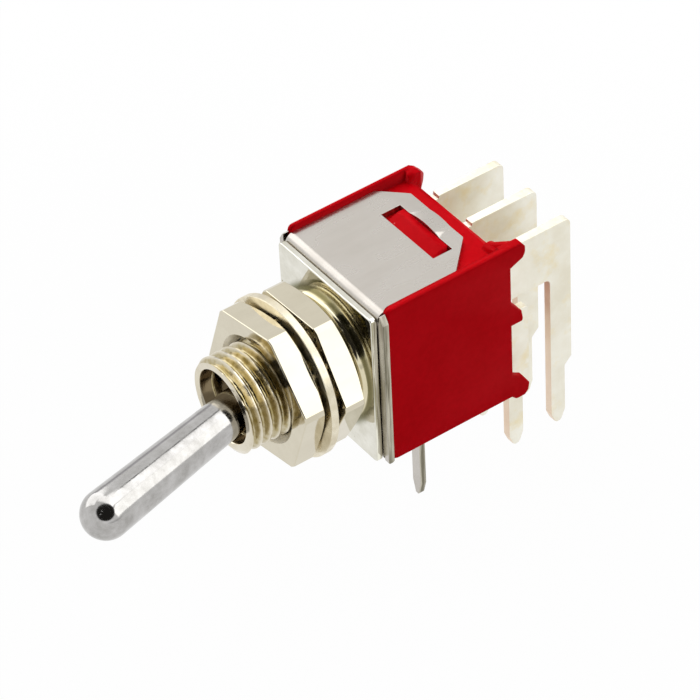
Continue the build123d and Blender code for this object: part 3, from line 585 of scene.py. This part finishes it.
# painted shade and reflection on the flange's face round the bushing
paint_shade_round_axis(stamped_nickel, (0.20, 0.19, 0.10), 3.35, 3.8)
sheared_edges(stamped_nickel, (0.84, 0.82, 0.70), (0.34, 0.31, 0.20))
flange_plate = plate_with_hole("bushing_flange", stamped_nickel, half_width=3.6, half_height=4.35,
                               corner_r=0.22, hole_r=2.3, front=flange_front, back=4.36)
soft_edges(flange_plate, 0.07, angle=50, segments=3)
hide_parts("bushing")
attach(flange_plate, "case")


# ---- Panel nuts -------------------------------------------------------------------------------
# Two thin hex nuts cut from bar: flat in front with a countersunk bore, and turned off at the
# rear corners. Their flats keep the bar's drawn skin under bright nickel.
nut_nickel = surface("nut_nickel", (0.665, 0.615, 0.49), (0.60, 0.55, 0.43), smooth=0.06, rough=0.12,
                     stretch=(1.0, 0.3, 1.0), grain=1100, cloud=220, bump=0.06, relief=0.004,
                     mark_colour=(0.40, 0.32, 0.22), mark_scale=1100, mark_size=0.05, mark_share=0.15)
# the drilled and countersunk part is rougher than the drawn flats
countersunk_r = 2.765
cut_roughness = 0.28
within_bore = calculate(nut_nickel.node_tree, "LESS_THAN", radius_from_axis(nut_nickel.node_tree)[0],
                        countersunk_r * MM)
roughen(nut_nickel, within_bore, cut_roughness)


def hex_nut(name, front, corner_turn, finish):
    """Columns round the nut, close together at the corners; each is a closed outline of (radius, y)."""
    flat_r, corner_r, thickness = 3.5, 3.955, 1.26
    bore_r, countersink = 2.435, 0.32
    chamfer_r, chamfer_depth, chamfer_run = 3.45, 0.2, 0.49
    edge, edge_middle, step_off = 0.05, 0.015, 0.02
    back = front + thickness
    strip = 30 - math.degrees(math.acos(flat_r / corner_r))
    offsets = [0, strip] + [strip + (60 - 2 * strip) * k / 12 for k in range(1, 12)] + [60 - strip]
    points = []
    for corner in range(6):
        for offset in offsets:
            angle = math.radians(corner_turn + 60 * corner + offset)
            from_flat = math.radians(abs(offset - 30))
            reach = min(flat_r / math.cos(from_flat), corner_r)
            meet = back - chamfer_depth * (reach - chamfer_r) / chamfer_run
            outline = [(bore_r, back), (bore_r, front + countersink), (bore_r + countersink, front),
                       (reach - edge, front), (reach - edge_middle, front + edge_middle),
                       (reach, front + edge), (reach, meet - step_off),
                       (reach - step_off, meet + edge_middle), (chamfer_r + step_off, back - 0.012),
                       (chamfer_r - step_off, back)]
            points += [(r * math.cos(angle), y, r * math.sin(angle)) for r, y in outline]
    return new_piece(name, points, round_faces(6 * len(offsets), 10), finish, crease=20)


for name, front, corner_turn in (("front_nut", 0.0, 10.8), ("rear_nut", 2.17, 3.3)):
    nut = hex_nut(name, front, corner_turn, nut_nickel)
    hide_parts("panel_nuts")
    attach(nut, "case")


# ---- Lock washer ------------------------------------------------------------------------------
# Stamped from spring steel and plated: a flat rim with twisted teeth round the bore that bite
# the panel and the nut. It is slightly dished, and its rim keeps the nicks of the press.
washer_nickel = surface("washer_nickel", (0.82, 0.76, 0.61), (0.66, 0.59, 0.43), smooth=0.22, rough=0.40,
                        grain=2200, cloud=500, bump=0.4, relief=0.012, mark_colour=(0.25, 0.2, 0.13),
                        mark_scale=1500, mark_size=0.1, mark_share=0.2)
washer_front, washer_back = 1.34, 1.74
rim_inner, rim_outer, edge = 3.1, 4.08, 0.03
rim_outline = [(rim_inner, washer_back), (rim_inner, washer_front + 0.04), (rim_inner + 0.04, washer_front)]
rim_outline += [(rim_outer - edge, washer_front), (rim_outer, washer_front + edge)]
rim_outline += [(rim_outer, washer_back - edge), (rim_outer - edge, washer_back)]
lock_washer = turned_piece("internal_tooth_washer", rim_outline, washer_nickel, columns=144)


def tooth_ring_tree():
    """Adds evenly spaced teeth inside a rim, each turned on its own radius, and dishes the whole washer."""
    tree = bpy.data.node_groups.new("twisted_teeth", "GeometryNodeTree")
    keys = {"Rim": group_input(tree, "Rim", "NodeSocketGeometry")}
    keys["Teeth"] = group_input(tree, "Teeth", "NodeSocketInt", 12)
    for name, value in (("Tooth Middle", 0.0028), ("Tooth Length", 0.0007), ("Tooth Width", 0.0008),
                        ("Tooth Thickness", 0.0003), ("Twist", 0.5), ("Mid Plane", 0.0015),
                        ("Dish", 0.00003)):
        keys[name] = group_input(tree, name, "NodeSocketFloat", value)
    keys["Finish"] = group_input(tree, "Finish", "NodeSocketMaterial")
    group_output(tree, "Geometry", "NodeSocketGeometry")
    given = node(tree, "NodeGroupInput").outputs
    size = node(tree, "ShaderNodeCombineXYZ", given["Tooth Length"], given["Tooth Thickness"],
                given["Tooth Width"])
    blank = node(tree, "GeometryNodeMeshCube", Size=size.outputs[0])
    centres = node(tree, "GeometryNodeMeshCircle", Vertices=given["Teeth"], Radius=0.001)
    index = node(tree, "GeometryNodeInputIndex").outputs[0]
    angle = calculate(tree, "DIVIDE", calculate(tree, "MULTIPLY", index, 2 * math.pi), given["Teeth"])
    across = calculate(tree, "MULTIPLY", calculate(tree, "COSINE", angle), given["Tooth Middle"])
    downward = calculate(tree, "MULTIPLY", given["Tooth Middle"], -1.0)
    rise = calculate(tree, "MULTIPLY", calculate(tree, "SINE", angle), downward)
    spot = node(tree, "ShaderNodeCombineXYZ", across, given["Mid Plane"], rise)
    place = node(tree, "GeometryNodeSetPosition", Geometry=centres.outputs[0], Position=spot.outputs[0])
    twist = node(tree, "ShaderNodeCombineXYZ", given["Twist"], angle)
    copies = node(tree, "GeometryNodeInstanceOnPoints", Points=place.outputs[0],
                  Instance=blank.outputs["Mesh"], Rotation=twist.outputs[0])
    both = node(tree, "GeometryNodeJoinGeometry", copies.outputs[0])
    tree.links.new(given["Rim"], both.inputs[0])
    real = node(tree, "GeometryNodeRealizeInstances", both.outputs[0])
    x, _, z = parts_of(tree, node(tree, "GeometryNodeInputPosition").outputs[0])
    round_angle = calculate(tree, "ARCTAN2", x, z)
    wave = calculate(tree, "SINE", calculate(tree, "MULTIPLY_ADD", round_angle, 2.0, 0.6))
    shift = node(tree, "ShaderNodeCombineXYZ", 0.0, calculate(tree, "MULTIPLY", wave, given["Dish"]))
    dished = node(tree, "GeometryNodeSetPosition", Geometry=real.outputs[0], Offset=shift.outputs[0])
    paint = node(tree, "GeometryNodeSetMaterial", Geometry=dished.outputs[0], Material=given["Finish"])
    node(tree, "NodeGroupOutput", Geometry=paint.outputs[0])
    return tree, keys


teeth, teeth_keys = tooth_ring_tree()
bake_tree(lock_washer, teeth, teeth_keys, crease=30, Teeth=12, Tooth_Middle=2.87 * MM,
          Tooth_Length=0.7 * MM, Tooth_Width=0.86 * MM, Tooth_Thickness=0.3 * MM, Twist=math.radians(28),
          Mid_Plane=1.54 * MM, Dish=0.04 * MM, Finish=washer_nickel)
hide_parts("lock_washer")
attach(lock_washer, "case")


# ---- Frame ------------------------------------------------------------------------------------
# One strip of bright stainless sheet, folded to a U round the case and snapped over its ridges.
# The ends of the strip and the ears show the striped, sheared edge of the sheet.
def solid_copy(name, source, finish):
    """A merged copy of a CAD node, with the facets of each flat joined into one face."""
    flat_angle = math.radians(2)
    data = nodes[source].data.copy()
    data.name = name
    work = bmesh.new()
    work.from_mesh(data)
    bmesh.ops.remove_doubles(work, verts=work.verts, dist=0.0002 * MM)
    bmesh.ops.dissolve_limit(work, angle_limit=flat_angle, verts=work.verts, edges=work.edges)
    work.to_mesh(data)
    work.free()
    data.materials.clear()
    data.materials.append(finish)
    shade(data, 30)
    made = put_in_scene(name, data)
    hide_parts(source)
    return made


stainless = surface("stainless_sheet", (0.56, 0.53, 0.49), (0.47, 0.44, 0.40), smooth=0.22, rough=0.32,
                    stretch=(1.0, 0.2, 1.0), grain=700, cloud=260, bump=0.02, relief=0.003,
                    mark_colour=(0.35, 0.32, 0.28), mark_scale=1500, mark_size=0.05, mark_share=0.08)
sheared_edges(stainless, (0.50, 0.47, 0.38), (0.17, 0.155, 0.105))
folded_frame = solid_copy("folded_frame", "frame", stainless)
soft_edges(folded_frame, 0.035, angle=32)
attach(folded_frame, "case")


# ---- Housing ----------------------------------------------------------------------------------
# Moulded in red glass-filled polyester, with a satin skin, soft edges and stand-off nubs behind.
# The two fins carry the plain side walls; the ridge in the window locks the frame.
def moulded_plastic(name, light, dark, roughness, specular, dust, edge_radius):
    """A satin skin on filled plastic with a little dust, whose edges catch light as if they were rounded."""
    made = surface(name, light, dark, smooth=roughness - 0.06, rough=roughness + 0.08, grain=3500,
                   cloud=420, bump=0.25, relief=0.012, mark_colour=dust, mark_size=0.06, mark_share=0.10,
                   metallic=0.0)
    tree = made.node_tree
    shader = tree.nodes["Principled BSDF"]
    shader.inputs["IOR"].default_value = 1.5
    shader.inputs["Specular IOR Level"].default_value = specular
    soft = node(tree, "ShaderNodeBevel", samples=8, Radius=edge_radius * MM)
    ripple = shader.inputs["Normal"].links[0].from_node
    tree.links.new(soft.outputs[0], ripple.inputs["Normal"])
    return made


red_polyester = moulded_plastic("red_polyester", (0.70, 0.001, 0.007), (0.61, 0.0008, 0.005),
                                roughness=0.42, specular=0.02, dust=(0.80, 0.12, 0.12), edge_radius=0.13)
moulded_case = solid_copy("moulded_case", "housing", red_polyester)
moulded_case.data.set_sharp_from_angle(angle=math.radians(62))
even = moulded_case.modifiers.new("flats_stay_flat", "WEIGHTED_NORMAL")
even.keep_sharp = True
even.weight = 100
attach(moulded_case, "case")


def tapered_bar(name, start, end, finish, sides=24):
    """A round bar across the switch, from one (x, y, z, radius) to another."""
    points = [(x, y + r * math.cos(2 * math.pi * k / sides), z + r * math.sin(2 * math.pi * k / sides))
              for x, y, z, r in (start, end) for k in range(sides)]
    faces = [[k, (k + 1) % sides, sides + (k + 1) % sides, sides + k] for k in range(sides)]
    faces += [list(range(sides)), list(range(sides, 2 * sides))]
    return new_piece(name, points, faces, finish)


# the gate's knob runs on into the inner side of the right upper nub
nub_height = 1.05
case_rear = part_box("housing")[1].y / MM - nub_height
gate_root = tapered_bar("gate_root", (2.6, case_rear - 0.22, 3.96, 0.43),
                        (3.5, case_rear + 0.5, 4.3, 0.4), red_polyester)
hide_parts("housing")
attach(gate_root, "case")


# ---- Terminals --------------------------------------------------------------------------------
# Six blades stamped from brass strip and tin plated, three long and three short, set on edge in
# the case. The sheared front edges stay rough and let the brass show through.
def plated_strip(name, light, dark, stain, brass_tone, edge_tone):
    """Tin on brass: yellow where the tin is thin, stained in spots, and bare on the sheared front edges."""
    most_yellow, most_bare = 0.6, 0.85
    made = surface(name, light, dark, smooth=0.38, rough=0.55, grain=900, cloud=350, bump=0.18,
                   relief=0.006, mark_colour=stain, mark_scale=900, mark_size=0.10, mark_share=0.12,
                   metallic=0.92)
    tree = made.node_tree
    normal = node(tree, "ShaderNodeNewGeometry").outputs["Normal"]
    to_front = calculate(tree, "MULTIPLY", parts_of(tree, normal)[1], -1.0)
    place = node(tree, "ShaderNodeTexCoord").outputs["Object"]
    patches = node(tree, "ShaderNodeTexNoise", Vector=place, Scale=850.0, Detail=4.0, Roughness=0.6)
    tint(made, ramp(tree, patches.outputs[0], 0.52, 0.72, 0.0, most_yellow), brass_tone)
    tint(made, calculate(tree, "MULTIPLY", calculate(tree, "MAXIMUM", to_front, 0.0), most_bare), edge_tone)
    return made


tin_plate = plated_strip("tin_plated_strip", (0.92, 0.90, 0.80), (0.84, 0.80, 0.67), (0.60, 0.42, 0.24),
                         (0.84, 0.72, 0.42), (0.85, 0.66, 0.50))
for row in ("upper", "lower"):
    for column in ("left", "common", "right"):
        source = f"{row}_{column}_terminal"
        blade = solid_copy(f"{row}_{column}_blade", source, tin_plate)
        soft_edges(blade, 0.03, angle=32)
        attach(blade, "case")


# ---- Lever ------------------------------------------------------------------------------------
# The bat, its pivot ball and the drilled tail are turned in one piece and chrome plated. The bat
# thickens towards its domed end.
chrome = surface("bright_chrome", (0.52, 0.51, 0.50), (0.37, 0.36, 0.345), smooth=0.06, rough=0.16,
                 stretch=(1.0, 0.8, 1.0), grain=3400, cloud=1100, bump=0.45, relief=0.006,
                 mark_colour=(0.28, 0.25, 0.22), mark_scale=1100, mark_size=0.05, mark_share=0.12)
tip, dome_r, neck_r, ball_r, tail_r, tail_end = 12.1, 1.2, 1.0, 1.75, 0.8, 5.5
drill_r, drill_end, tail_round = 0.5, 1.9, 0.15
pivot_y, thrown = 0.59, 13.44
columns = 96
dome_centre = -(tip - dome_r)
bat_outline = [(0.0, -tip)]
bat_outline += [(dome_r * math.sin(math.radians(a)), dome_centre - dome_r * math.cos(math.radians(a)))
                for a in range(6, 91, 6)]
neck_meet = -math.sqrt(ball_r**2 - neck_r**2)
bat_outline += [(dome_r + (neck_r - dome_r) * k / 12, dome_centre + (neck_meet - dome_centre) * k / 12)
                for k in range(1, 13)]
ball_start = math.degrees(math.asin(neck_r / ball_r))
ball_end = 180 - math.degrees(math.asin(tail_r / ball_r))
bat_outline += [(ball_r * math.sin(math.radians(a)), -ball_r * math.cos(math.radians(a)))
                for a in [ball_start + (ball_end - ball_start) * k / 20 for k in range(1, 21)]]
bat_outline += [(tail_r, tail_end - tail_round), (tail_r - 0.04, tail_end - 0.06)]
bat_outline += [(tail_r - tail_round, tail_end), (drill_r, tail_end), (drill_r, drill_end), (0.0, drill_end)]
lever_turn = Matrix.Translation((0, pivot_y, 0)) @ Matrix.Rotation(math.radians(thrown), 4, "Z")
bat_points = [lever_turn @ Vector(point) for point in turned_points(bat_outline, columns)]
bat_faces = round_faces(columns, len(bat_outline), closed=False)
bat_lever = new_piece("bat_lever", bat_points, bat_faces, chrome, crease=35)
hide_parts("lever")
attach(bat_lever, "lever_body")


# ---- Moving parts inside ----------------------------------------------------------------------
# A nylon follower slides in the lever's tail on a spring and rocks two silver-faced strips, each
# on the rounded edge of its common terminal, against the fixed contact pads.
spring_steel = surface("spring_wire", (0.62, 0.61, 0.59), (0.5, 0.49, 0.47), smooth=0.25, rough=0.4,
                       grain=2500)
silver = surface("silver_pad", (0.86, 0.85, 0.82), (0.78, 0.76, 0.72), smooth=0.28, rough=0.42, grain=2000,
                 mark_colour=(0.45, 0.38, 0.28), mark_scale=1200, mark_size=0.12, mark_share=0.2)
silver_strip = surface("silver_clad_strip", (0.84, 0.82, 0.77), (0.74, 0.70, 0.62), smooth=0.25, rough=0.4,
                       stretch=(0.15, 1, 1), grain=1500, bump=0.15)
nylon = moulded_plastic("natural_nylon", (0.82, 0.79, 0.70), (0.76, 0.72, 0.62), roughness=0.5,
                        specular=0.4, dust=(0.70, 0.66, 0.55), edge_radius=0.04)


def refinish(name, finish):
    """Gives a CAD node's own mesh another finish."""
    data = nodes[name].data
    data.materials.clear()
    data.materials.append(finish)


refinish("plunger", nylon)
refinish("detent_spring", spring_steel)
for side in ("upper", "lower"):
    refinish(f"{side}_rocker", silver_strip)
    for column in ("left", "right"):
        refinish(f"contact_pad_{side}_{column}", silver)
